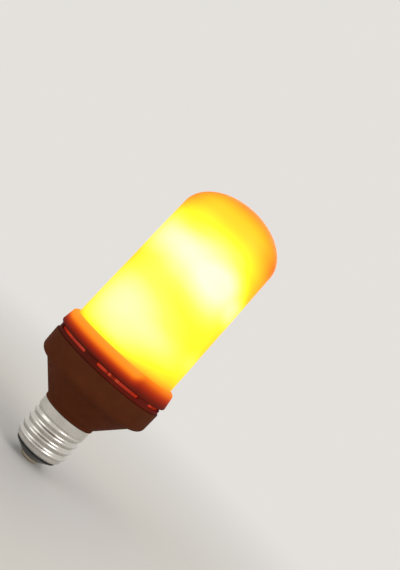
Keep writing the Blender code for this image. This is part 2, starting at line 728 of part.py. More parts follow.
def make_choke():
    """The choke: a ferrite bobbin with its winding between two flanges."""
    winding = CHOKE_RADIUS - CHOKE_WAIST
    top = parts_base + CHOKE_HEIGHT
    upper = top - CHOKE_FLANGE
    lower = parts_base + CHOKE_FLANGE
    outline = [(0.0, top), (CHOKE_RADIUS, top), (CHOKE_RADIUS, upper), (winding, upper)]
    outline += [(winding, lower), (CHOKE_RADIUS, lower), (CHOKE_RADIUS, parts_base), (0.0, parts_base)]
    bobbin = turned("choke", outline, SMALL_SIDES, closed=False)
    bobbin.location = on_board(CHOKE_PLACE)
    finish(bobbin, ferrite)


def make_line_capacitor():
    """The line capacitor: a moulded block with rounded edges."""
    size = LINE_CAPACITOR_SIZE
    centre = on_board(LINE_CAPACITOR_PLACE) + Vector((0.0, 0.0, parts_base + size[2] / 2))
    block = boxes("line_capacitor", [(size, facing(LINE_CAPACITOR_PLACE[1], centre))])
    edges = block.modifiers.new("Edges", "BEVEL")
    edges.width = LINE_CAPACITOR_ROUND
    edges.segments = 2
    finish(block, yellow_plastic)


def make_chip(name, size, pins, place):
    """A flat chip with a row of pins along each long side."""
    centre = on_board(place) + Vector((0.0, 0.0, parts_base + size[2] / 2))
    placed = facing(place[1], centre)
    body = boxes(name, [(size, placed)])
    row = []
    for side in (-1, 1):
        for pin in range(pins):
            along = (pin - (pins - 1) / 2) * PIN_PITCH
            across = side * (size[1] + PIN_LENGTH) / 2
            foot = (PIN_WIDTH, PIN_LENGTH * 2, PIN_THICKNESS)
            local = Matrix.Translation((along, across, (PIN_THICKNESS * 2 - size[2]) / 2))
            row.append((foot, placed @ local))
    combine(body, boxes(f"pins_of_{name}", row), "UNION")
    finish(body, black_epoxy)


def make_fuse():
    """The fusible resistor under the board, in line with the live wire."""
    top = shelf_top
    base = top - FUSE_LENGTH
    upper = top - FUSE_CAP
    lower = base + FUSE_CAP
    waist = FUSE_RADIUS - FUSE_WAIST
    outline = [(0.0, top), (FUSE_RADIUS, top), (FUSE_RADIUS, upper), (waist, upper - FUSE_WAIST)]
    outline += [(waist, lower + FUSE_WAIST), (FUSE_RADIUS, lower), (FUSE_RADIUS, base), (0.0, base)]
    fuse = turned("fuse_resistor", outline, SMALL_SIDES, closed=False)
    fuse.location = polar(FUSE_DISTANCE, FUSE_AZIMUTH)
    finish(fuse, blue_enamel)


def lead_azimuth(index):
    """Azimuth of an LED lead: the leads stand side by side, half a turn from the sheet's slit."""
    step = math.degrees(LEAD_PITCH / lead_circle)
    return RIB_AZIMUTH + 180.0 + (index - (LEADS - 1) / 2) * step


def make_wires():
    """The supply wires in the neck, and the leads from the board to the LED sheet."""
    stem_top = CONTACT_HEIGHT + STEM_LENGTH + FIT
    fuse_base = shelf_top - FUSE_LENGTH - FIT
    live = [Vector((0.0, 0.0, stem_top)), Vector((0.0, 0.0, stem_top + WIRE_STRAIGHT))]
    live += [polar(FUSE_DISTANCE, FUSE_AZIMUTH, height) for height in (fuse_base - WIRE_STRAIGHT, fuse_base)]
    wire("live_wire", live, red_insulation)
    plug_base = seat_height - NECK_PLUG
    side = root_bore_radius - 2 * FIT - WIRE_RADIUS
    through = neck_bore_radius - WIRE_RADIUS - 4 * FIT
    below = [polar(side, NEUTRAL_AZIMUTH, plug_base - drop) for drop in (NEUTRAL_TAIL, WIRE_STRAIGHT)]
    heights = (plug_base, neck_top, shelf_top - WIRE_STRAIGHT, shelf_top)
    neutral = below + [polar(through, NEUTRAL_AZIMUTH, height) for height in heights]
    wire("neutral_wire", neutral, black_insulation)
    for index, look in enumerate((red_insulation, yellow_insulation, black_insulation)):
        azimuth = lead_azimuth(index)
        start = board_radius - 2 * WIRE_RADIUS
        lead = [polar(start, azimuth, height) for height in (parts_base, parts_base + WIRE_STRAIGHT)]
        heights = (deck_base - WIRE_STRAIGHT, deck_base, sheet_base + LEAD_OVERLAP)
        lead += [polar(lead_circle, azimuth, height) for height in heights]
        wire(f"led_lead_{index + 1}", lead, look)


# Materials
tinned_brass = material("tinned_brass", (0.62, 0.55, 0.42), 0.35, 1.0)
nickel = material("nickel_plate", (0.66, 0.64, 0.60), 0.28, 1.0)
black_glass = material("black_glass", (0.02, 0.02, 0.022), 0.15)
brown_plastic = material("brown_plastic", (0.085, 0.022, 0.009), 0.42)
white_plastic = material("white_plastic", (0.80, 0.77, 0.72), 0.42)
milky_plastic = material("milky_plastic", (1.0, 0.62, 0.12), 0.35, glow=1.0)
led_board = material("led_board", (0.85, 0.84, 0.80), 0.40)
steel = material("zinc_steel", (0.60, 0.60, 0.62), 0.32, 1.0)
green_board = material("circuit_board", (0.03, 0.16, 0.07), 0.40)
black_sleeve = material("black_sleeve", (0.03, 0.03, 0.04), 0.35)
ferrite = material("ferrite", (0.09, 0.08, 0.08), 0.60)
yellow_plastic = material("yellow_plastic", (0.75, 0.52, 0.05), 0.40)
black_epoxy = material("black_epoxy", (0.025, 0.025, 0.025), 0.50)
blue_enamel = material("blue_enamel", (0.10, 0.22, 0.42), 0.35)
red_insulation = material("red_insulation", (0.50, 0.03, 0.02), 0.45)
black_insulation = material("black_insulation", (0.03, 0.03, 0.03), 0.45)
yellow_insulation = material("yellow_insulation", (0.70, 0.50, 0.04), 0.45)

# Screw cap, housing, collar and diffuser
make_contact()
make_insulator()
make_shell()
make_housing()
make_collar()
make_diffuser()

# Lamp core
make_core()
make_core_cap()
make_sheet()
for number in range(RIBS):
    make_screw(number)

# Driver
make_board()
make_filter_capacitor()
make_choke()
make_line_capacitor()
make_chip("bridge_rectifier", RECTIFIER_SIZE, RECTIFIER_PIN_COUNT, RECTIFIER_PLACE)
make_chip("control_chip", CONTROLLER_SIZE, CONTROLLER_PIN_COUNT, CONTROLLER_PLACE)
make_chip("regulator_chip", REGULATOR_SIZE, REGULATOR_PIN_COUNT, REGULATOR_PLACE)
make_fuse()
make_wires()
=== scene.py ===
"""The look of the flame effect LED bulb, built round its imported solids.

The lit diffuser, the collar, the housing and the screw cap are replaced by finer meshes of the same
form, and every other piece keeps its solid under a detailed material. Lengths are in metres. Azimuths
are degrees round the axis from the front, which is -Y, towards +X.
"""

import math

import bmesh
import bpy
from mathutils import Matrix, Vector


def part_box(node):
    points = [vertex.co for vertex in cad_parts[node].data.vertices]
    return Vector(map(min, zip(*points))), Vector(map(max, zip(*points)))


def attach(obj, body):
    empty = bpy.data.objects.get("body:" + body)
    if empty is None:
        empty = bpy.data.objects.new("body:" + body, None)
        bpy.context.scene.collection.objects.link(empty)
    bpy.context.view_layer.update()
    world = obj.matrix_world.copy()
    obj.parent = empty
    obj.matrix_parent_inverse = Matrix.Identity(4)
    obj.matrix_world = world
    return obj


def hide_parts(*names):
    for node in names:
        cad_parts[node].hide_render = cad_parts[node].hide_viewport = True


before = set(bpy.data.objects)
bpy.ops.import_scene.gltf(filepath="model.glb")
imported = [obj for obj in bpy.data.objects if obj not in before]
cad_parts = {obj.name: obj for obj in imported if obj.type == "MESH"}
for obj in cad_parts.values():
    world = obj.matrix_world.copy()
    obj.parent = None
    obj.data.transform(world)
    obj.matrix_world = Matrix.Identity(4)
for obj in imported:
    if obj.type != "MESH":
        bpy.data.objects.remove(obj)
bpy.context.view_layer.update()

MM = 0.001

# Camera: the photograph's frame is 400 by 570 pixels, and the sensor's width spans its long side.
# Its place is measured from the middle of the collar's top.
FRAME_HEIGHT = 570
FOCAL_PIXELS = 620.0
SENSOR_WIDTH = 36.0
CAMERA_PLACE = (-0.00023, -0.2845, 0.02277)
CAMERA_TURN = math.radians(-1.0)
CAMERA_RISE = math.radians(4.5)
CAMERA_ROLL = math.radians(42.4)

# Sizes that the solids' boxes don't give. FIT is the gap between two pieces.
FIT = 0.3 * MM
WALL = 1.8 * MM
SLOTS = 6
SLOT_AZIMUTH = 12.4
SLOT_SPAN = 46.0
SLOT_HEIGHT = 1.35 * MM
SLOT_DROP = 0.15 * MM
SLOT_ROUND = 0.6 * MM
RIBS = 3
RIB_AZIMUTH = 7.0
EDGE_ROUND = 0.15 * MM

# Points nearer than the first are one point, shorter edges than the second are dropped, and a swept
# block's end is within the third, in degrees.
MERGE_DISTANCE = 0.001 * MM
TINY_EDGE = 0.01 * MM
END_TOLERANCE = 0.01

# The part of a noise's range that patches are spread over
NOISE_SPAN = (0.3, 0.7)
BLACK = (0.0, 0.0, 0.0)

# Heights and radii from the solids
contact_foot, contact_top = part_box("centre_contact")
insulator_foot, insulator_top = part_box("cap_insulator")
shell_foot, shell_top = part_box("screw_shell")
housing_foot, housing_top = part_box("housing")
collar_foot, collar_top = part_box("collar_ring")
diffuser_foot, diffuser_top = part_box("diffuser")
sheet_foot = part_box("led_sheet")[0]
board_foot, board_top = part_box("driver_board")

collar_height = collar_top.z
apex_height = diffuser_top.z
flange_radius = diffuser_top.x
flange_base = diffuser_foot.z
bore_radius = flange_radius + FIT
ring_radius = collar_top.x
housing_radius = housing_top.x
thread_radius = shell_top.x


def make_camera():
    """The camera at the photograph's viewing angle, with the plain view transform."""
    scene = bpy.context.scene
    scene.view_settings.view_transform = "Standard"
    lens = bpy.data.cameras.new("camera")
    lens.sensor_width = SENSOR_WIDTH
    lens.lens = FOCAL_PIXELS * SENSOR_WIDTH / FRAME_HEIGHT
    lens.clip_start = 0.01
    lens.clip_end = 20.0
    camera = bpy.data.objects.new("camera", lens)
    scene.collection.objects.link(camera)
    turn = Matrix.Rotation(CAMERA_TURN, 4, "Z")
    rise = Matrix.Rotation(math.radians(90.0) + CAMERA_RISE, 4, "X")
    roll = Matrix.Rotation(CAMERA_ROLL, 4, "Z")
    place = Vector(CAMERA_PLACE) + Vector((0.0, 0.0, collar_height))
    camera.matrix_world = Matrix.Translation(place) @ turn @ rise @ roll
    scene.camera = camera


def linear(red, green, blue):
    """A colour read from a screen, 0 to 255, as Blender's linear values."""
    values = []
    for level in (red / 255.0, green / 255.0, blue / 255.0):
        values.append(level / 12.92 if level <= 0.04045 else ((level + 0.055) / 1.055) ** 2.4)
    return tuple(values)


def scaled(colour, factor):
    """A colour made darker or lighter."""
    return tuple(channel * factor for channel in colour)


class Look:
    """A Principled material with helpers that add and link its nodes."""

    def __init__(self, name, **values):
        self.made = bpy.data.materials.new(name)
        self.made.use_nodes = True
        self.tree = self.made.node_tree
        self.surface = self.tree.nodes["Principled BSDF"]
        for socket, value in values.items():
            self.surface.inputs[socket.replace("_", " ")].default_value = value
        self.place = self.tree.nodes.new("ShaderNodeTexCoord").outputs["Object"]

    def give(self, socket, value):
        """Sets an input, or links an output to it."""
        if isinstance(value, bpy.types.NodeSocket):
            self.tree.links.new(value, socket)
        elif isinstance(value, tuple) and len(value) == 3 and socket.type == "RGBA":
            socket.default_value = (*value, 1.0)
        else:
            socket.default_value = value

    def drive(self, socket, value):
        """Links an output to one of the surface's inputs."""
        self.give(self.surface.inputs[socket], value)

    def vector(self, operation, first, second=(0.0, 0.0, 0.0)):
        node = self.tree.nodes.new("ShaderNodeVectorMath")
        node.operation = operation
        self.give(node.inputs[0], first)
        self.give(node.inputs[1], second)
        return node.outputs["Value" if operation in ("LENGTH", "DOT_PRODUCT") else "Vector"]

    def sums(self, operation, first, second=0.0):
        node = self.tree.nodes.new("ShaderNodeMath")
        node.operation = operation
        self.give(node.inputs[0], first)
        self.give(node.inputs[1], second)
        return node.outputs[0]

    def parts(self, vector):
        node = self.tree.nodes.new("ShaderNodeSeparateXYZ")
        self.give(node.inputs[0], vector)
        return node.outputs

    def span(self, value, start, end, low=0.0, high=1.0, shape="SMOOTHSTEP"):
        """Maps a value between a start and an end to a low and a high level, and clamps it."""
        node = self.tree.nodes.new("ShaderNodeMapRange")
        node.interpolation_type = shape
        self.give(node.inputs["Value"], value)
        for socket, level in zip(("From Min", "From Max", "To Min", "To Max"), (start, end, low, high)):
            node.inputs[socket].default_value = level
        return node.outputs["Result"]

    def noise(self, scale, detail=2.0, stretch=(1.0, 1.0, 1.0)):
        node = self.tree.nodes.new("ShaderNodeTexNoise")
        node.inputs["Scale"].default_value = scale
        node.inputs["Detail"].default_value = detail
        self.give(node.inputs["Vector"], self.vector("MULTIPLY", self.place, stretch))
        return node.outputs["Fac"]

    def cloud(self, scale, low, high, **kind):
        """Noise between a low and a high level."""
        return self.span(self.noise(scale, **kind), *NOISE_SPAN, low, high)

    def ramp(self, value, stops):
        """A colour ramp from pairs of a position and a colour."""
        node = self.tree.nodes.new("ShaderNodeValToRGB")
        points = node.color_ramp.elements
        while len(points) < len(stops):
            points.new(1.0)
        for point, (position, colour) in zip(points, stops):
            point.position = position
            point.color = (*colour, 1.0)
        self.give(node.inputs["Fac"], value)
        return node.outputs["Color"]

    def mix(self, factor, first, second, blend="MIX"):
        node = self.tree.nodes.new("ShaderNodeMix")
        node.data_type = "RGBA"
        node.blend_type = blend
        self.give(node.inputs["Factor"], factor)
        colours = [socket for socket in node.inputs if socket.type == "RGBA"]
        self.give(colours[0], first)
        self.give(colours[1], second)
        return next(socket for socket in node.outputs if socket.type == "RGBA")

    def bump(self, height, distance):
        node = self.tree.nodes.new("ShaderNodeBump")
        node.inputs["Distance"].default_value = distance
        self.give(node.inputs["Height"], height)
        self.drive("Normal", node.outputs["Normal"])

    def mottle(self, colour, scale, spread, name="Base Color"):
        """Colours the surface with soft cloudy patches, darker and lighter by a share."""
        low, high = NOISE_SPAN
        stops = [(low, scaled(colour, 1.0 - spread)), (high, scaled(colour, 1.0 + spread))]
        made = self.ramp(self.noise(scale, detail=4.0), stops)
        self.drive(name, made)
        return made


def polar(radius, azimuth, height=0.0):
    """A place at a radius from the axis, at degrees round it from the front."""
    angle = math.radians(azimuth)
    return Vector((radius * math.sin(angle), -radius * math.cos(angle), height))


def arc(centre, radii, start, end, steps):
    """Points (radius, height) on an arc or a quarter ellipse, at degrees from the outward direction."""
    points = []
    for step in range(steps + 1):
        angle = math.radians(start + (end - start) * step / steps)
        points.append((centre[0] + radii[0] * math.cos(angle), centre[1] + radii[1] * math.sin(angle)))
    return points


def softened(outline, rounds, steps=4):
    """An outline whose corners are rounded. rounds gives the radius for the corners that have one."""
    points = [Vector(point) for point in outline]
    made = []
    for index, corner in enumerate(points):
        radius = rounds.get(index, 0.0)
        if not radius:
            made.append(tuple(corner))
            continue
        back = (points[index - 1] - corner).normalized()
        on = (points[(index + 1) % len(points)] - corner).normalized()
        half = back.angle(on) / 2
        reach = radius / math.tan(half)
        centre = corner + (back + on).normalized() * radius / math.sin(half)
        first = corner + back * reach - centre
        last = corner + on * reach - centre
        for step in range(steps + 1):
            made.append(tuple(centre + first.slerp(last, step / steps).normalized() * radius))
    return made


def object_of(name, mesh):
    """A new object in the scene."""
    made = bpy.data.objects.new(name, mesh)
    bpy.context.scene.collection.objects.link(made)
    return made


def object_from(name, bm):
    """A new object that takes over a bmesh, with its faces turned outwards."""
    bmesh.ops.recalc_face_normals(bm, faces=bm.faces)
    mesh = bpy.data.meshes.new(name)
    bm.to_mesh(mesh)
    bm.free()
    return object_of(name, mesh)


def settle(piece):
    """Gives a piece its evaluated mesh in place of its modifiers."""
    bpy.context.view_layer.update()
    evaluated = piece.evaluated_get(bpy.context.evaluated_depsgraph_get())
    mesh = bpy.data.meshes.new_from_object(evaluated)
    piece.modifiers.clear()
    piece.data = mesh


def turned(name, outline, sides, closed=True):
    """A turned shape. Its outline runs down the outer side, and starts and ends on the axis if open."""
    mesh = bpy.data.meshes.new(name)
    edges = [(index, index + 1) for index in range(len(outline) - 1)]
    if closed:
        edges.append((len(outline) - 1, 0))
    mesh.from_pydata([(radius, 0.0, height) for radius, height in outline], edges, [])
    made = object_of(name, mesh)
    turn = made.modifiers.new("Turn", "SCREW")
    turn.steps = turn.render_steps = sides
    turn.use_merge_vertices = True
    turn.merge_threshold = MERGE_DISTANCE
    settle(made)
    return made


def upright(name, radius, base, top, place, sides):
    """An upright cylinder."""
    bm = bmesh.new()
    at = Matrix.Translation((place[0], place[1], (base + top) / 2))
    bmesh.ops.create_cone(
        bm, cap_ends=True, segments=sides, radius1=radius, radius2=radius, depth=top - base, matrix=at
    )
    return object_from(name, bm)


def plate(name, outline, thickness, azimuth):
    """An upright plate across the front of an azimuth, from its outline of radii and heights."""
    bm = bmesh.new()
    side = polar(thickness / 2, azimuth + 90.0)
    corners = [polar(radius, azimuth, height) - side for radius, height in outline]
    face = bm.faces.new([bm.verts.new(corner) for corner in corners])
    grown = bmesh.ops.extrude_face_region(bm, geom=[face])
    moved = [item for item in grown["geom"] if isinstance(item, bmesh.types.BMVert)]
    bmesh.ops.translate(bm, verts=moved, vec=side * 2)
    return object_from(name, bm)


def sector(name, inner, outer, base, top, azimuth, span, end_round=0.0):
    """A block swept round the axis, centred on an azimuth. Its ends can be rounded up its height."""
    bm = bmesh.new()
    start = azimuth - span / 2
    corners = [(inner, base), (outer, base), (outer, top), (inner, top)]
    face = bm.faces.new([bm.verts.new(polar(radius, start, height)) for radius, height in corners])
    swept = {"geom": [face, *face.edges, *face.verts], "axis": (0, 0, 1), "cent": (0, 0, 0)}
    bmesh.ops.spin(bm, angle=math.radians(span), steps=round(span), use_duplicate=False, **swept)
    if end_round:
        ends = []
        for edge in bm.edges:
            first, last = (vert.co for vert in edge.verts)
            level = abs(first.z - last.z) < MERGE_DISTANCE
            radial = level and abs(first.xy.length - last.xy.length) > MERGE_DISTANCE
            turn = math.degrees(math.atan2(first.x, -first.y)) - azimuth
            turn = abs((turn + 180.0) % 360.0 - 180.0)
            if radial and turn > span / 2 - END_TOLERANCE:
                ends.append(edge)
        bmesh.ops.bevel(bm, geom=ends, offset=end_round, segments=5, profile=0.5, affect="EDGES")
    return object_from(name, bm)


def combine(piece, tools, operation):
    """Cuts a piece with tools, or joins them to it, and removes them."""
    for tool in tools:
        change = piece.modifiers.new(tool.name, "BOOLEAN")
        change.object = tool
        change.operation = operation
        change.solver = "EXACT"
    settle(piece)
    for tool in tools:
        bpy.data.objects.remove(tool)


def cut_to_triangles(piece):
    """Drops a cut piece's tiny edges and makes its faces triangles, so that two meet at each edge."""
    bm = bmesh.new()
    bm.from_mesh(piece.data)
    bmesh.ops.dissolve_degenerate(bm, dist=TINY_EDGE, edges=bm.edges)
    bmesh.ops.triangulate(bm, faces=bm.faces, quad_method="BEAUTY", ngon_method="BEAUTY")
    bm.to_mesh(piece.data)
    bm.free()


def finish(piece, looks, slot, *nodes, sharp=35.0):
    """Shades a piece, gives it its materials and puts it in the place of its solids."""
    piece.data.shade_smooth()
    piece.data.set_sharp_from_angle(angle=math.radians(sharp))
    piece.data.materials.clear()
    for look in looks:
        piece.data.materials.append(look)
    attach(piece, "root")
    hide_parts(*nodes)


# The flame on the diffuser: azimuth, height above the collar, half width, half height, how much
# sooner it ends at its top than at its foot, and strength. Lengths are in millimetres. The first
# thirteen show in the photograph.
FLAMES = (
    (-72.0, 53.5, 26.0, 13.5, 0.15, 0.40),
    (-34.0, 50.0, 26.0, 14.5, 0.20, 0.29),
    (1.0, 54.0, 22.5, 17.0, 0.20, 0.35),
    (32.0, 47.5, 19.5, 15.5, 0.17, 0.47),
    (66.0, 44.5, 12.0, 9.0, 0.00, 0.44),
    (-9.0, 36.0, 26.0, 8.0, 0.00, 0.055),
    (-38.0, 16.5, 35.5, 21.0, 0.00, 0.44),
    (24.0, 13.0, 20.0, 9.0, 0.00, 0.15),
    (66.0, 16.0, 11.0, 7.0, 0.00, 0.19),
    (-8.0, 5.0, 16.0, 7.0, 0.00, 0.06),
    (50.0, -1.0, 28.0, 10.0, 0.00, -0.18),
    (76.0, 68.0, 26.0, 22.0, 0.00, -0.24),
    (-84.0, 75.0, 22.0, 14.0, 0.00, -0.16),
    (104.0, 45.0, 22.0, 14.0, 0.20, 0.38),
    (136.0, 53.0, 24.0, 17.0, 0.25, 0.36),
    (170.0, 50.0, 22.0, 19.0, 0.20, 0.30),
    (204.0, 44.0, 26.0, 14.0, 0.10, 0.34),
    (240.0, 53.0, 25.0, 16.0, 0.25, 0.36),
    (120.0, 11.0, 30.0, 17.0, 0.00, 0.36),
    (162.0, 23.0, 22.0, 15.0, 0.10, 0.24),
    (202.0, 14.0, 32.0, 20.0, 0.00, 0.38),
    (246.0, 20.0, 24.0, 16.0, 0.00, 0.18),
)
# A flame is at full strength up to the first share of its reach, and ends at the second.
FLAME_FADE = (0.1, 1.1)
# The level under the flames: from one height above the collar to another, from one level to another
BODY_GLOW = (62 * MM, 73 * MM, 0.43, 0.25)
DOME_FADE = (74 * MM, 88 * MM, 0.0, -0.24)
FOOT_FADE = (-1.5 * MM, 4 * MM, -0.21, 0.0)
GLOW_DRIFT = 0.02
GLOW_COLOURS = (
    (0.00, (0.80, 0.16, 0.012)),
    (0.27, (1.00, 0.72, 0.026)),
    (0.42, (1.05, 1.10, 0.028)),
    (0.60, (1.15, 1.30, 0.140)),
    (0.80, (1.25, 1.50, 0.420)),
    (1.00, (1.40, 1.70, 0.770)),
)
GLOW_STRENGTH = 3.0
# The clear coat's tint deepens the glow at a slant. Its low index keeps it from shining.
GLOW_TINT = (1.0, 0.80, 0.50)
GLOW_TINT_INDEX = 1.05
MILKY = (0.24, 0.12, 0.008)


def diffuser_look():
    """Milky plastic lit from inside. Its light yellows and reddens where it is seen at a slant."""
    look = Look(
        "lit_milky_plastic",
        Roughness=0.5,
        Specular_IOR_Level=0.25,
        Coat_Weight=1.0,
        Coat_Roughness=0.4,
        Coat_IOR=GLOW_TINT_INDEX,
        Coat_Tint=(*GLOW_TINT, 1.0),
        Emission_Strength=GLOW_STRENGTH,
    )
    height = look.vector("SUBTRACT", look.place, (0.0, 0.0, collar_height))
    height = look.parts(height)["Z"]
    level = look.span(height, *BODY_GLOW)
    for fade in (DOME_FADE, FOOT_FADE):
        level = look.sums("ADD", level, look.span(height, *fade))
    for azimuth, rise, half_width, half_height, skew, strength in FLAMES:
        centre = polar(flange_radius, azimuth, collar_height + rise * MM)
        reach = (1 / (half_width * MM), 1 / (half_width * MM), 1 / (half_height * MM))
        offset = look.vector("MULTIPLY", look.vector("SUBTRACT", look.place, tuple(centre)), reach)
        distance = look.vector("LENGTH", offset)
        if skew:
            distance = look.sums("ADD", distance, look.vector("DOT_PRODUCT", offset, (0.0, 0.0, skew)))
        level = look.sums("ADD", level, look.span(distance, *FLAME_FADE, strength, 0.0))
    level = look.sums("ADD", level, look.cloud(28.0, -GLOW_DRIFT, GLOW_DRIFT, detail=1.0))
    stops = []
    for position, colour in GLOW_COLOURS:
        stops.append((position, tuple(c / t / GLOW_STRENGTH for c, t in zip(colour, GLOW_TINT))))
    look.drive("Emission Color", look.ramp(level, stops))
    look.mottle(MILKY, 60.0, 0.08)
    look.bump(look.noise(2200.0, detail=3.0), 0.01 * MM)
    return look.made


# The housing's brown, which is its plastic's tone in shade and so painted shade, and the collar's copy
# of it, redder with painted red light
BROWN = (0.094, 0.024, 0.009)
RED_LIT_BROWN = (0.094, 0.0150, 0.0085)
PLASTIC_SHINE = 0.015


def plastic_look(name, colour, glow=False):
    """Satin moulded plastic: faint clouding, a fine spark-eroded grain and uneven gloss. With glow,
    painted light is added as emission.
    """
    look = Look(name, Specular_IOR_Level=PLASTIC_SHINE)
    look.mottle(colour, 140.0, 0.10)
    grain = look.noise(1500.0, detail=4.0)
    look.drive("Roughness", look.cloud(260.0, 0.60, 0.72))
    look.bump(grain, 0.015 * MM)
    # Painted light: emission in place of the diffuser's and the vents' light falling on the collar
    if glow:
        look.drive("Emission Color", painted_flame_light(look))
        look.surface.inputs["Emission Strength"].default_value = 1.0
    return look.made


# The diffuser's light on the collar, painted as emission: how far it reaches down, and where it weakens
# to the sides as painted shade, as the azimuths where that starts and ends and the share that is left
COLLAR_LIGHT_REACH = 8 * MM
COLLAR_SHADE = ((17.0, 28.0, 0.65), (-60.0, -80.0, 0.85))
COLLAR_COLOURS = (
    (0.00, BLACK),
    (0.10, (0.055, 0.002, 0.0004)),
    (0.20, (0.145, 0.005, 0.0006)),
    (0.33, (0.325, 0.017, 0.001)),
    (0.45, (0.560, 0.060, 0.001)),
    (0.58, (0.880, 0.175, 0.003)),
    (0.70, (0.960, 0.290, 0.010)),
    (0.85, (0.980, 0.310, 0.020)),
    (1.00, (0.980, 0.370, 0.026)),
)
# The vents' red light, painted as emission on the ring: how far it reaches up the ring, and its strength
# from left to right
VENT_LIGHT_REACH = 2 * MM
VENT_LIGHT = (-12 * MM, 6 * MM, 0.006, 0.035)
VENT_RED = (1.0, 0.0, 0.0)


def painted_flame_light(look):
    """The orange light that soaks into the collar from the diffuser, and the red of its vents, painted
    as emission.
    """
    place = look.parts(look.place)
    share = look.span(place["Z"], collar_height - COLLAR_LIGHT_REACH, collar_height, shape="LINEAR")
    for full, low, level in COLLAR_SHADE:
        start, end = (ring_radius * math.sin(math.radians(azimuth)) for azimuth in (full, low))
        share = look.sums("MULTIPLY", share, look.span(place["X"], start, end, 1.0, level))
    vents = look.span(place["Z"], ring_base, ring_base + VENT_LIGHT_REACH, 1.0, 0.0)
    vents = look.sums("MULTIPLY", vents, look.span(place["X"], *VENT_LIGHT))
    flame = look.ramp(share, COLLAR_COLOURS)
    return look.vector("ADD", flame, look.mix(vents, BLACK, VENT_RED))


# The painted light beside each rib is centred a little past the rib, in degrees.
RIB_LIGHT_TURN = 1.2


def rib_offset(look):
    """Distance round the axis to the middle of the nearest rib's painted light, in degrees."""
    place = look.parts(look.place)
    azimuth = look.sums("ARCTAN2", place["X"], look.sums("MULTIPLY", place["Y"], -1.0))
    half = 180.0 / RIBS
    turn = look.sums("MULTIPLY", azimuth, math.degrees(1.0))
    turn = look.sums("ADD", turn, half - RIB_AZIMUTH - RIB_LIGHT_TURN)
    turn = look.sums("SUBTRACT", look.sums("FLOORED_MODULO", turn, 2 * half), half)
    return look.sums("ABSOLUTE", turn)


# The red light inside the housing, painted as emission. By degrees from a rib's light, it is dimmer on
# the rib as painted shade, and bright from the start to the end of a boss's side as a painted highlight.
INSIDE_LEVEL = (0.25, 0.45)
RIB_PAINTED_SHADE = (1.6, 2.6, 0.7, 1.0)
BOSS_START = (2.9, 3.9, 0.0, 1.0)
BOSS_END = (5.0, 6.4, 1.0, 0.0)
BOSS_LEVEL = 0.5
INSIDE_COLOURS = ((0.0, (0.02, 0.001, 0.001)), (0.4, linear(150, 36, 18)), (1.0, linear(200, 82, 55)))
# The red light painted as emission on the filter capacitor
INNER_PAINTED_GLOW = linear(165, 58, 34)


def inside_look():
    """The housing's plastic inside, with the red light that leaks past the deck painted on as emission,
    and painted bright bosses.
    """
    look = Look("plastic_in_painted_red_light", Roughness=0.6, Specular_IOR_Level=0.1, Emission_Strength=1.0)
    look.mottle(BROWN, 140.0, 0.10)
    offset = rib_offset(look)
    level = look.cloud(220.0, *INSIDE_LEVEL)
    level = look.sums("MULTIPLY", level, look.span(offset, *RIB_PAINTED_SHADE))
    boss = look.sums("MULTIPLY", look.span(offset, *BOSS_START), look.span(offset, *BOSS_END))
    level = look.sums("ADD", level, look.sums("MULTIPLY", boss, BOSS_LEVEL))
    look.drive("Emission Color", look.ramp(level, INSIDE_COLOURS))
    return look.made


# The core's plastic above its deck, and its baffle below, with painted shade in its darker red base
# colour and painted red light as emission. The baffle's painted light is brighter at the notch beside a
# rib, by degrees from the rib's light.
CORE_PALE = (0.62, 0.50, 0.36)
BAFFLE_FADE = 0.4 * MM
BAFFLE_PAINTED_SHADE = (0.06, 0.008, 0.006)
BAFFLE_PAINTED_GLOW = ((0.0, linear(150, 34, 16)), (1.0, linear(176, 46, 20)))
NOTCH_LIGHT = (5.8, 7.0, 1.0, 0.0)
NOTCH_PAINTED_GLOW = linear(180, 64, 40)


def core_look():
    """The lamp core's plastic. Its baffle glows red behind the vent slots: painted light as emission,
    over a base colour darkened as painted shade.
    """
    look = Look("core_plastic", Roughness=0.45, Emission_Strength=1.0)
    height = look.parts(look.place)["Z"]
    below = look.span(height, core_deck_base - BAFFLE_FADE, core_deck_base, 1.0, 0.0)
    look.drive("Base Color", look.mix(below, look.mottle(CORE_PALE, 200.0, 0.05), BAFFLE_PAINTED_SHADE))
    red = look.ramp(look.cloud(160.0, 0.0, 1.0), BAFFLE_PAINTED_GLOW)
    red = look.mix(look.span(rib_offset(look), *NOTCH_LIGHT), red, NOTCH_PAINTED_GLOW)
    look.drive("Emission Color", look.mix(below, BLACK, red))
    look.bump(look.noise(800.0, detail=3.0), 0.01 * MM)
    return look.made


def metal_look(name, colour, rough, scratch=0.05):
    """Plated metal: fine turning lines round the axis, and a little tarnish."""
    look = Look(name, Metallic=1.0)
    look.mottle(colour, 220.0, 0.07)
    lines = look.noise(900.0, detail=3.0, stretch=(0.15, 0.15, 4.0))
    look.drive("Roughness", look.span(lines, *NOISE_SPAN, rough - scratch, rough + scratch))
    look.bump(lines, 0.01 * MM)
    return look.made


GLOSS_SPREAD = 0.08


def coated_look(name, colour, rough, scale=400.0, depth=0.02, spread=0.12, glow=None):
    """A dense coated or moulded surface for the small inner pieces, with any red light that it is in
    painted on as emission.
    """
    look = Look(name)
    if glow:
        look.drive("Emission Color", glow)
        look.surface.inputs["Emission Strength"].default_value = 1.0
    look.mottle(colour, scale, spread)
    look.drive("Roughness", look.cloud(scale, rough - GLOSS_SPREAD, rough + GLOSS_SPREAD))
    look.bump(look.noise(scale * 4, detail=3.0), depth * MM)
    return look.made


# Diffuser
DIFFUSER_SIDES = 180
DIFFUSER_WALL = 1.2 * MM
DIFFUSER_DRAFT = math.radians(0.76)
DOME_HEIGHT = 17.6 * MM
FLANGE_WIDTH = 0.7 * MM
FLANGE_THICKNESS = 1.5 * MM
diffuser_radius = flange_radius - FLANGE_WIDTH
flange_top = flange_base + FLANGE_THICKNESS
dome_base = apex_height - DOME_HEIGHT


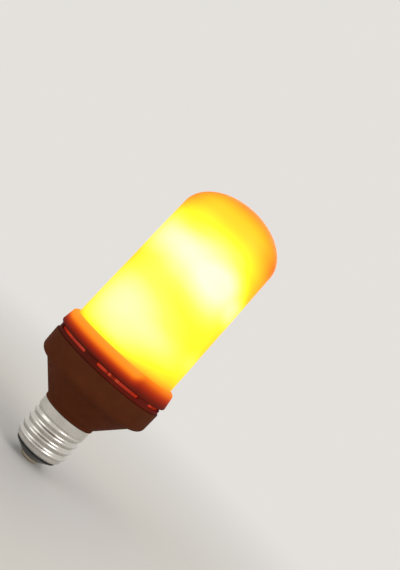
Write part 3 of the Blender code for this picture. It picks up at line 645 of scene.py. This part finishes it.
def make_diffuser():
    """The milky diffuser: a slightly tapered tube with an elliptical dome and a flange at its foot."""
    taper = math.tan(DIFFUSER_DRAFT)
    top_radius = diffuser_radius - taper * (dome_base - flange_top)
    rows = 36
    wall = []
    for row in range(1, rows + 1):
        height = dome_base + (flange_top - dome_base) * row / rows
        wall.append((top_radius + taper * (dome_base - height), height))
    outer = arc((0.0, dome_base), (top_radius, DOME_HEIGHT), 90, 0, 36) + wall
    outer[0] = (0.0, apex_height)
    flange = [(flange_radius, flange_top), (flange_radius, flange_base)]
    foot_inner = diffuser_radius - DIFFUSER_WALL + taper * FLANGE_THICKNESS
    inner_radii = (top_radius - DIFFUSER_WALL, DOME_HEIGHT - DIFFUSER_WALL)
    inner = arc((0.0, dome_base), inner_radii, 0, 90, 24)
    inner[-1] = (0.0, apex_height - DIFFUSER_WALL)
    outline = outer + flange + [(foot_inner, flange_base)] + inner
    piece = turned("diffuser_shell", outline, DIFFUSER_SIDES, closed=False)
    finish(piece, [diffuser_look()], "diffuser_plastic", "diffuser")


# Collar
COLLAR_SIDES = 240
LIP_THICKNESS = 2.2 * MM
RING_TOP_WIDTH = 2.2 * MM
RING_TOP_ROUND = 2.0 * MM
RING_HEIGHT = 8.2 * MM
RING_OVERHANG = 1.15 * MM
RING_FOOT_ROUND = 1.1 * MM
lip_radius = diffuser_radius + FIT
lip_base = collar_height - LIP_THICKNESS
ring_top_radius = lip_radius + RING_TOP_WIDTH
band_radius = ring_radius - RING_OVERHANG
band_base = collar_foot.z
ring_base = collar_height - RING_HEIGHT
slot_top = ring_base - SLOT_DROP
slot_base = slot_top - SLOT_HEIGHT


def make_collar():
    """The collar: a flared ring with a lip over the diffuser's flange, and a slotted band below."""
    shoulder_centre = (ring_top_radius - RING_TOP_ROUND, collar_height - RING_TOP_ROUND)
    shoulder = arc(shoulder_centre, (RING_TOP_ROUND, RING_TOP_ROUND), 90, 0, 12)
    foot_centre = (ring_radius - RING_FOOT_ROUND, ring_base + RING_FOOT_ROUND)
    foot = arc(foot_centre, (RING_FOOT_ROUND, RING_FOOT_ROUND), 0, -80, 10)
    outline = [(lip_radius, collar_height), *shoulder, *foot, (band_radius, ring_base)]
    outline += [(band_radius, band_base), (bore_radius, band_base)]
    outline += [(bore_radius, lip_base), (lip_radius, lip_base)]
    band_foot = outline.index((band_radius, band_base))
    outline = softened(outline, {0: EDGE_ROUND, band_foot: EDGE_ROUND})
    collar = turned("collar_moulding", outline, COLLAR_SIDES)
    slots = []
    for index in range(SLOTS):
        azimuth = SLOT_AZIMUTH + index * 360.0 / SLOTS
        reach = (bore_radius - WALL, ring_radius + WALL, slot_base, slot_top)
        slots.append(sector(f"slot_{index + 1}", *reach, azimuth, SLOT_SPAN, SLOT_ROUND))
    combine(collar, slots, "DIFFERENCE")
    cut_to_triangles(collar)
    # The collar's redder brown and its glow are painted light from the diffuser and the vents.
    look = plastic_look("collar_in_flame_light", RED_LIT_BROWN, glow=True)
    finish(collar, [look], "collar_plastic", "collar_ring")


# Housing
HOUSING_SIDES = 216
CUP_TAPER = 0.3 * MM
CUP_HEIGHT = 11.4 * MM
CORNER_RADIUS = 3.5 * MM
SHOULDER_WIDTH = 4.25 * MM
SHOULDER_ANGLE = math.radians(12.0)
NECK_LIP = 0.3 * MM
NECK_HEIGHT = 1.2 * MM
NECK_PLUG_WALL = 1.5 * MM
SPIGOT_WALL = 1.2 * MM
SPIGOT_ROOT = 3.0 * MM
TAB_SPAN = 9.0
RIB_THICKNESS = 1.6 * MM
BOSS_RADIUS = 2.6 * MM
SCREW_RADIUS = 1.1 * MM
SCREW_CIRCLE = 23.2 * MM
SHELF_DEPTH = 3.0 * MM
DECK_THICKNESS = 1.6 * MM
SCREW_DEPTH = 8.0 * MM
SEAM = 0.12 * MM
SKIRT_HEIGHT = 4.0 * MM
TURN_RISE = 0.35
SHELL_WALL = 0.4 * MM
THREAD_DEPTH = 1.05 * MM
THREAD_PITCH = 3.63 * MM
rim_height = band_base - SEAM
core_deck_base = sheet_foot.z - FIT - DECK_THICKNESS
boss_top = core_deck_base - FIT
shelf_top = board_foot.z - FIT
board_radius = board_top.x
neck_radius = thread_radius + NECK_LIP
seat_height = shell_top.z + FIT
neck_top = seat_height + NECK_HEIGHT
break_height = band_base - FIT - CUP_HEIGHT
plug_base = housing_foot.z
spigot_radius = bore_radius - FIT
spigot_inner_radius = spigot_radius - SPIGOT_WALL
foot_radius = housing_radius - CUP_TAPER
shoulder_radius = foot_radius - SHOULDER_WIDTH
skirt_bore_radius = thread_radius - SHELL_WALL
root_radius = thread_radius - THREAD_DEPTH
root_bore_radius = root_radius - SHELL_WALL
neck_bore_radius = root_bore_radius - FIT - NECK_PLUG_WALL


def cup_line(inset=0.0):
    """Outline of the housing's cup: wall, rounded corner, shallow shoulder and cone.

    With an inset it is the line inside that, whose turn into the cone rises by a share of the inset.
    """
    corner_foot = foot_radius - CORNER_RADIUS + CORNER_RADIUS * math.sin(SHOULDER_ANGLE)
    rise = (corner_foot - shoulder_radius) * math.tan(SHOULDER_ANGLE)
    corner_height = break_height + rise + CORNER_RADIUS * math.cos(SHOULDER_ANGLE)
    centre = (foot_radius - CORNER_RADIUS, corner_height)
    radius = CORNER_RADIUS - inset
    corner = arc(centre, (radius, radius), 0.0, math.degrees(SHOULDER_ANGLE) - 90.0, 12)
    slope = (shoulder_radius - neck_radius) / (break_height - neck_top)
    aside = Vector((-1.0, slope)).normalized() * inset
    turn = (shoulder_radius + aside.x, break_height + aside.y + inset * TURN_RISE)
    neck = (neck_radius + aside.x, neck_top + aside.y)
    return [(housing_radius - inset, rim_height), *corner, turn, neck]


def make_housing():
    """The housing: a cup with a conical base and a neck, and a castellated spigot, bosses and ribs."""
    outer = cup_line()
    inner = cup_line(WALL)
    upper_plug = skirt_bore_radius - FIT
    lower_plug = root_bore_radius - FIT
    skirt_base = shell_top.z - SKIRT_HEIGHT + FIT
    neck = [(neck_radius, seat_height), (upper_plug, seat_height), (upper_plug, skirt_base)]
    neck += [(lower_plug, skirt_base), (lower_plug, plug_base), (neck_bore_radius, plug_base)]
    slope = (inner[-2][0] - inner[-1][0]) / (inner[-2][1] - inner[-1][1])
    neck += [(neck_bore_radius, inner[-1][1] + (neck_bore_radius - inner[-1][0]) / slope)]
    wall_top = rim_height - SPIGOT_ROOT
    rim = [(inner[0][0], wall_top), (spigot_inner_radius, wall_top + inner[0][0] - spigot_inner_radius)]
    rim += [(spigot_inner_radius, boss_top), (spigot_radius, boss_top), (spigot_radius, rim_height)]
    outline = outer + neck + inner[-2:0:-1] + rim
    rounds = {0: EDGE_ROUND, len(outer) - 2: 2 * EDGE_ROUND, len(outer) - 1: EDGE_ROUND}
    housing = turned("housing_moulding", softened(outline, rounds), HOUSING_SIDES)
    windows = []
    for index in range(SLOTS):
        azimuth = SLOT_AZIMUTH + index * 360.0 / SLOTS
        reach = (spigot_inner_radius - WALL, bore_radius + WALL, slot_base - FIT, boss_top + WALL)
        windows.append(sector(f"window_{index + 1}", *reach, azimuth, 360.0 / SLOTS - TAB_SPAN))
    combine(housing, windows, "DIFFERENCE")
    combine(housing, [make_rib(index, wall_top) for index in range(RIBS)], "UNION")
    looks = [plastic_look("housing_plastic", BROWN), inside_look()]
    finish(housing, looks, "housing_plastic", "housing")
    for face in housing.data.polygons:
        middle = face.center
        if middle.xy.length < spigot_radius - FIT / 2 and middle.z > break_height + WALL / 2:
            face.material_index = 1


def make_rib(index, wall_top):
    """A boss and the rib that ties it to the wall, with a shelf under the driver board."""
    azimuth = RIB_AZIMUTH + index * 360.0 / RIBS
    shelf_edge = board_radius - SHELF_DEPTH
    outline = [(shelf_edge, neck_top), (housing_radius, neck_top), (housing_radius, boss_top)]
    outline += [(SCREW_CIRCLE, boss_top), (SCREW_CIRCLE, shelf_top), (shelf_edge, shelf_top)]
    rib = plate(f"rib_{index + 1}", outline, RIB_THICKNESS, azimuth)
    place = polar(SCREW_CIRCLE, azimuth)
    combine(rib, [upright(f"boss_{index + 1}", BOSS_RADIUS, neck_top, boss_top, place, 32)], "UNION")
    within = cup_line(WALL / 2)
    top = boss_top + WALL
    reach = spigot_radius - FIT
    below = cup_line(WALL)[-1][1]
    envelope = [(0.0, top), (reach, top), (reach, rim_height - FIT), (within[0][0], wall_top)]
    envelope += [*within[1:-1], (neck_radius, below), (0.0, below)]
    combine(rib, [turned(f"limit_{index + 1}", envelope, HOUSING_SIDES, closed=False)], "INTERSECT")
    hole = upright(f"hole_{index + 1}", SCREW_RADIUS + FIT, core_deck_base - SCREW_DEPTH, top, place, 24)
    combine(rib, [hole], "DIFFERENCE")
    return rib


# Screw cap
SHELL_SIDES = 120
THREAD_ROWS_PER_TURN = 20
SHELL_LIP_RADIUS = 10.8 * MM
SHELL_LIP_HEIGHT = 1.6 * MM


def shell_radius(height, turn):
    """Outer radius of the screw shell at a height above its lower edge and a share of a turn."""
    total = shell_top.z - shell_foot.z
    if height < SHELL_LIP_HEIGHT:
        share = math.sin(height / SHELL_LIP_HEIGHT * math.pi / 2)
        return SHELL_LIP_RADIUS + (root_radius - SHELL_LIP_RADIUS) * share
    climb = height - SHELL_LIP_HEIGHT
    wave = 0.5 - 0.5 * math.cos(2 * math.pi * (climb / THREAD_PITCH - turn))
    run_in = min(1.0, climb / (THREAD_PITCH / 2))
    left = total - SKIRT_HEIGHT - height
    run_out = min(1.0, max(0.0, left / (THREAD_PITCH / 2)))
    return root_radius + THREAD_DEPTH * (1.0 - (1.0 - wave * run_in) * run_out)


def make_shell():
    """The screw shell: thin plated metal, rolled into an Edison thread."""
    total = shell_top.z - shell_foot.z
    count = round(total / THREAD_PITCH * THREAD_ROWS_PER_TURN)
    bm = bmesh.new()
    bmesh.ops.create_grid(bm, x_segments=SHELL_SIDES, y_segments=count, size=0.5)
    for vert in bm.verts:
        turn = vert.co.x + 0.5
        height = (vert.co.y + 0.5) * total
        vert.co = polar(shell_radius(height, turn), turn * 360.0, shell_foot.z + height)
    bmesh.ops.remove_doubles(bm, verts=bm.verts, dist=MERGE_DISTANCE)
    mesh = bpy.data.meshes.new("rolled_shell")
    bm.to_mesh(mesh)
    bm.free()
    shell = object_of("rolled_shell", mesh)
    wall = shell.modifiers.new("Wall", "SOLIDIFY")
    wall.thickness = SHELL_WALL
    wall.offset = -1.0
    settle(shell)
    finish(shell, [metal_look("nickel_plate", (0.66, 0.64, 0.60), 0.27)], "shell_metal", "screw_shell")


# The insulator's rim is a share of its height, and the contact's rounded edge is lower than it is wide.
INSULATOR_RADIUS = 5.8 * MM
INSULATOR_HEIGHT = 3.7 * MM
STEM_RADIUS = 1.1 * MM
INSULATOR_RIM = 0.15
RIM_ROUND = 0.1 * MM
CONE_ROUND = 0.3 * MM
CONTACT_FLAT_RADIUS = 3.0 * MM
CONTACT_HEIGHT = 1.6 * MM
CONTACT_EDGE = 0.6
CAP_SIDES = 96


def make_insulator():
    """The black insulator: a cone under the screw shell, with a plug inside the shell's lip."""
    hole = STEM_RADIUS + FIT
    plug_radius = SHELL_LIP_RADIUS - SHELL_WALL - FIT
    base = insulator_foot.z
    cone_top = base + INSULATOR_HEIGHT
    outline = [(hole, insulator_top.z), (plug_radius, insulator_top.z), (plug_radius, cone_top)]
    rim_base = cone_top - INSULATOR_RIM * INSULATOR_HEIGHT
    outline += [(SHELL_LIP_RADIUS, cone_top), (SHELL_LIP_RADIUS, rim_base)]
    outline += [(INSULATOR_RADIUS, base), (hole, base)]
    rounds = {3: RIM_ROUND, 4: CONE_ROUND, 5: CONE_ROUND}
    piece = turned("glass_insulator", softened(outline, rounds), CAP_SIDES)
    look = coated_look("black_glass", (0.02, 0.02, 0.022), 0.14, depth=0.005)
    finish(piece, [look], "insulator", "cap_insulator")


def make_contact():
    """The centre contact: a flat-ended button with a stem through the insulator."""
    radius = contact_top.x
    rounding = radius - CONTACT_FLAT_RADIUS
    rise = rounding * CONTACT_EDGE
    edge = arc((CONTACT_FLAT_RADIUS, rise), (rounding, rise), 0, -90, 12)
    outline = [(0.0, contact_top.z), (STEM_RADIUS, contact_top.z), (STEM_RADIUS, CONTACT_HEIGHT)]
    outline += [(radius, CONTACT_HEIGHT), *edge, (0.0, 0.0)]
    piece = turned("tinned_contact", outline, CAP_SIDES, closed=False)
    look = metal_look("tinned_brass", (0.62, 0.55, 0.42), 0.34, 0.08)
    finish(piece, [look], "contact_metal", "centre_contact")


def dress_solids():
    """Gives the inner pieces, which keep their solids, their materials."""
    white = core_look()
    steel = metal_look("zinc_steel", (0.60, 0.60, 0.62), 0.32)
    epoxy = coated_look("black_epoxy", (0.025, 0.025, 0.025), 0.5)
    red = coated_look("red_insulation", (0.50, 0.03, 0.02), 0.45)
    black = coated_look("black_insulation", (0.03, 0.03, 0.03), 0.45)
    yellow = coated_look("yellow_insulation", (0.70, 0.50, 0.04), 0.45)
    looks = {
        "led_core": white,
        "core_cap": white,
        "led_sheet": coated_look("white_solder_mask", (0.85, 0.84, 0.80), 0.4, 300.0, 0.01, 0.04),
        "driver_board": coated_look("green_solder_mask", (0.03, 0.16, 0.07), 0.4, 500.0, 0.02, 0.2),
        # The filter capacitor's black sleeve has the red light inside the housing painted on as
        # emission.
        "filter_capacitor": coated_look("black_sleeve", (0.03, 0.03, 0.04), 0.35, glow=INNER_PAINTED_GLOW),
        "choke": coated_look("ferrite", (0.09, 0.08, 0.08), 0.6, 600.0, 0.04),
        "line_capacitor": coated_look("yellow_epoxy", (0.75, 0.52, 0.05), 0.4),
        "bridge_rectifier": epoxy,
        "control_chip": epoxy,
        "regulator_chip": epoxy,
        "fuse_resistor": coated_look("blue_enamel", (0.10, 0.22, 0.42), 0.35),
        "live_wire": red,
        "neutral_wire": black,
        "led_lead_1": red,
        "led_lead_2": yellow,
        "led_lead_3": black,
    }
    for index in range(RIBS):
        looks[f"core_screw_{index + 1}"] = steel
    for name, look in looks.items():
        for material_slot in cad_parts[name].material_slots:
            material_slot.material = look


# Stage. The floor fades into the background between two distances from the part.
PALE = linear(228, 225, 221)
FLOOR_ALBEDO = 0.78
FLOOR_RADIUS = 3.0
FLOOR_DROP = 0.05 * MM
FLOOR_FADE = (0.05, 0.45)
WHITE = (1.0, 1.0, 1.0)
# Soft lamps: name, place, size, power and colour
LAMPS = (
    ("key_light", (0.70, -0.75, 0.75), 0.60, 4.6, (1.0, 0.97, 0.93)),
    ("fill_light", (-0.95, -0.55, 0.45), 0.80, 2.4, (0.96, 0.98, 1.0)),
    ("back_light", (0.15, 0.95, 0.60), 0.70, 2.2, (1.0, 0.98, 0.95)),
)
WORLD_LEVEL = 0.50


def make_floor():
    """A pale floor that fades into an even background."""
    bm = bmesh.new()
    bmesh.ops.create_circle(bm, cap_ends=True, segments=96, radius=FLOOR_RADIUS)
    floor = object_from("floor", bm)
    floor.location.z = contact_foot.z - FLOOR_DROP
    paint = bpy.data.materials.new("pale_floor")
    paint.use_nodes = True
    tree = paint.node_tree
    nodes, links = tree.nodes, tree.links
    nodes.clear()
    matt = nodes.new("ShaderNodeBsdfDiffuse")
    matt.inputs["Color"].default_value = (*scaled(PALE, FLOOR_ALBEDO / max(PALE)), 1.0)
    even = nodes.new("ShaderNodeEmission")
    even.inputs["Color"].default_value = (*PALE, 1.0)
    place = nodes.new("ShaderNodeTexCoord")
    distance = nodes.new("ShaderNodeVectorMath")
    distance.operation = "LENGTH"
    fade = nodes.new("ShaderNodeMapRange")
    fade.interpolation_type = "SMOOTHSTEP"
    near, far = FLOOR_FADE
    fade.inputs["From Min"].default_value = near
    fade.inputs["From Max"].default_value = far
    mix = nodes.new("ShaderNodeMixShader")
    end = nodes.new("ShaderNodeOutputMaterial")
    links.new(place.outputs["Object"], distance.inputs[0])
    links.new(distance.outputs["Value"], fade.inputs["Value"])
    links.new(fade.outputs["Result"], mix.inputs["Fac"])
    links.new(matt.outputs[0], mix.inputs[1])
    links.new(even.outputs[0], mix.inputs[2])
    links.new(mix.outputs[0], end.inputs["Surface"])
    floor.data.materials.append(paint)


def make_world():
    """An even white world. Where it is seen, also in gloss and through glass, it has the pale colour."""
    world = bpy.data.worlds.new("studio")
    world.use_nodes = True
    tree = world.node_tree
    back = tree.nodes["Background"]
    back.inputs["Color"].default_value = (*WHITE, 1.0)
    back.inputs["Strength"].default_value = WORLD_LEVEL
    seen = tree.nodes.new("ShaderNodeBackground")
    seen.inputs["Color"].default_value = (*PALE, 1.0)
    path = tree.nodes.new("ShaderNodeLightPath")
    choice = tree.nodes.new("ShaderNodeMixShader")
    any_ray = path.outputs["Is Camera Ray"]
    for ray in ("Is Glossy Ray", "Is Transmission Ray"):
        either = tree.nodes.new("ShaderNodeMath")
        either.operation = "MAXIMUM"
        tree.links.new(any_ray, either.inputs[0])
        tree.links.new(path.outputs[ray], either.inputs[1])
        any_ray = either.outputs[0]
    tree.links.new(any_ray, choice.inputs["Fac"])
    tree.links.new(back.outputs[0], choice.inputs[1])
    tree.links.new(seen.outputs[0], choice.inputs[2])
    tree.links.new(choice.outputs[0], tree.nodes["World Output"].inputs["Surface"])
    bpy.context.scene.world = world


def make_lamps():
    """Soft lamps, aimed at the part's middle."""
    for name, place, size, power, colour in LAMPS:
        lamp = bpy.data.lights.new(name, "AREA")
        lamp.size = size
        lamp.energy = power
        lamp.color = colour
        made = object_of(name, lamp)
        made.location = place
        aim = Vector((0.0, 0.0, apex_height / 2)) - Vector(place)
        made.rotation_euler = aim.to_track_quat("-Z", "Y").to_euler()


make_camera()
make_diffuser()
make_collar()
make_housing()
make_shell()
make_insulator()
make_contact()
dress_solids()
make_floor()
make_world()
make_lamps()
